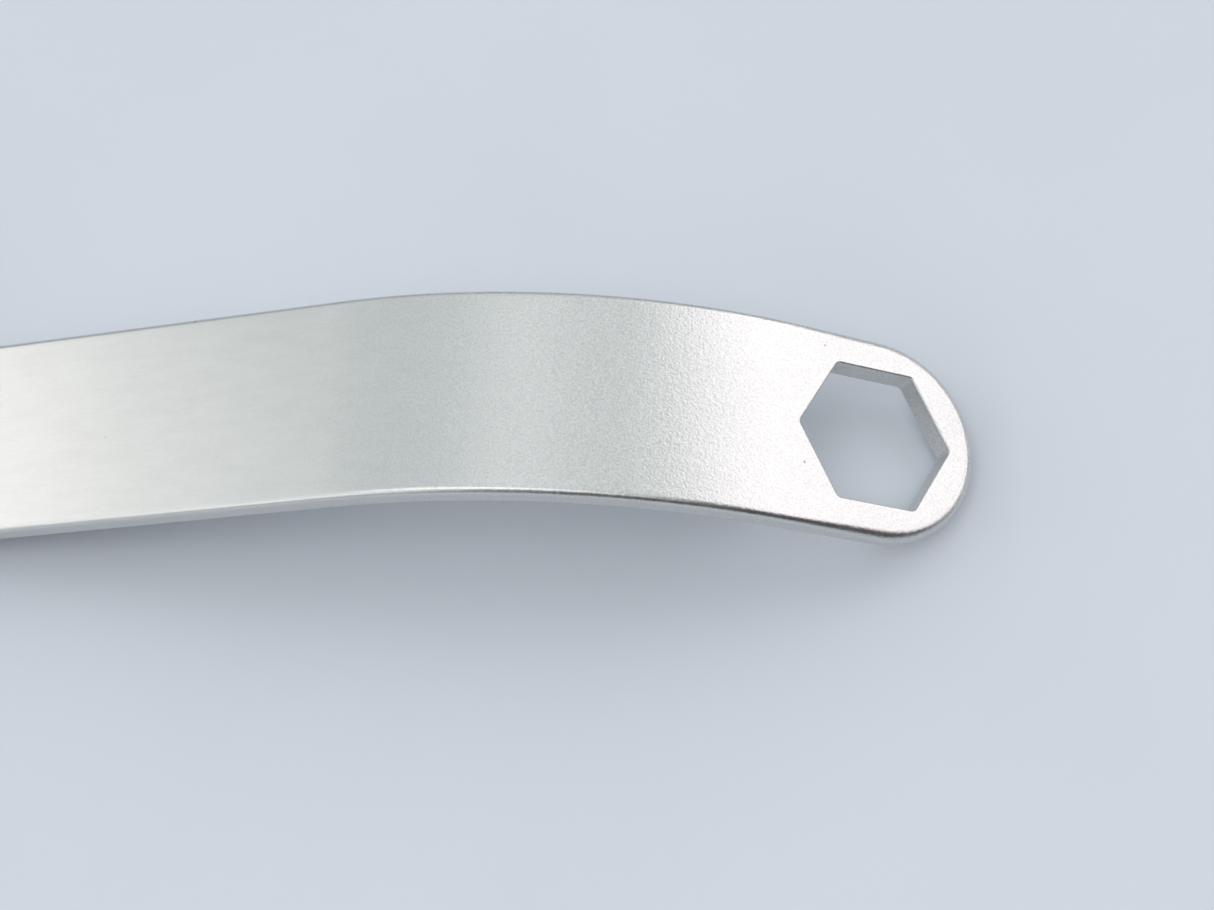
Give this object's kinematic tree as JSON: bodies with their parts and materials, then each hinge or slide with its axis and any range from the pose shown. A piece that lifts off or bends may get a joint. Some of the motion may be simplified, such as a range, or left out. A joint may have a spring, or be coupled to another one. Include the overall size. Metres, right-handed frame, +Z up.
{
  "type": "fire hydrant wrench",
  "caption": "Bent flat-bar hydrant wrench with a reversible ratcheting pentagon socket head, a spanner hook for hose couplings and a hexagon hole in the handle's tail.",
  "frame": {"origin": "centre of the bounding box's underside: the plane the wrench rests on, under the head's lower face and the tip of the tail", "axes": "+X along the handle from the ratchet head to the tail, +Z up from the surface it rests on, the hook's claw hangs towards -Y"},
  "size_m": [0.4338, 0.1164, 0.0341],
  "materials": {
    "handle_steel": "bead blasted stainless, faintly brushed along the handle",
    "plate_steel": "bead blasted stainless plate with rounded edges",
    "case_steel": "laser-cut and ground edge",
    "hook_steel": "bead blasted forging",
    "ring_steel": "hardened and darkened tool steel",
    "bushing_bronze": "turned bearing bronze",
    "lever_black": "black oxide, satin",
    "fastener_steel": "turned stainless",
    "spring_steel": "drawn spring wire"
  },
  "bodies": {
    "frame": {"handle_bar": "handle_steel", "lower_side_plate": "plate_steel", "upper_side_plate": "plate_steel", "gear_case": "case_steel", "neck_spacer": "case_steel", "spanner_hook": "hook_steel", "lower_bushing": "bushing_bronze", "upper_bushing": "bushing_bronze", "pawl_pin": "fastener_steel", "head_screw_1": "fastener_steel", "head_screw_2": "fastener_steel", "head_screw_3": "fastener_steel", "head_screw_4": "fastener_steel", "head_screw_5": "fastener_steel", "head_screw_6": "fastener_steel", "hook_screw_1": "fastener_steel", "hook_screw_2": "fastener_steel", "handle_rivet_1": "fastener_steel", "handle_rivet_2": "fastener_steel", "handle_rivet_3": "fastener_steel"},
    "ring": {"drive_ring": "ring_steel"},
    "reversing_pawl": {"pawl": "ring_steel"},
    "selector": {"selector_stem": "ring_steel", "selector_lever": "lever_black", "selector_screw": "fastener_steel", "plunger": "fastener_steel", "plunger_spring": "spring_steel"}
  },
  "joints": [
    {"name": "ring_spin", "type": "hinge", "parent": "frame", "child": "ring", "pos_m": [-0.11415, 0.01618, 0.0116], "axis": [0, 0, 1], "continuous": true},
    {"name": "selector_turn", "type": "hinge", "parent": "frame", "child": "selector", "pos_m": [-0.05015, 0.01618, 0.0116], "axis": [0, 0, 1], "range_deg": [-30, 30]},
    {"name": "pawl_tilt", "type": "hinge", "parent": "frame", "child": "reversing_pawl", "pos_m": [-0.06915, 0.01618, 0.0116], "axis": [0, 0, 1], "range_deg": [-12, 12]}
  ],
  "couplings": [
    {"joint": "pawl_tilt", "follows": "selector_turn", "ratio": -0.4}
  ]
}
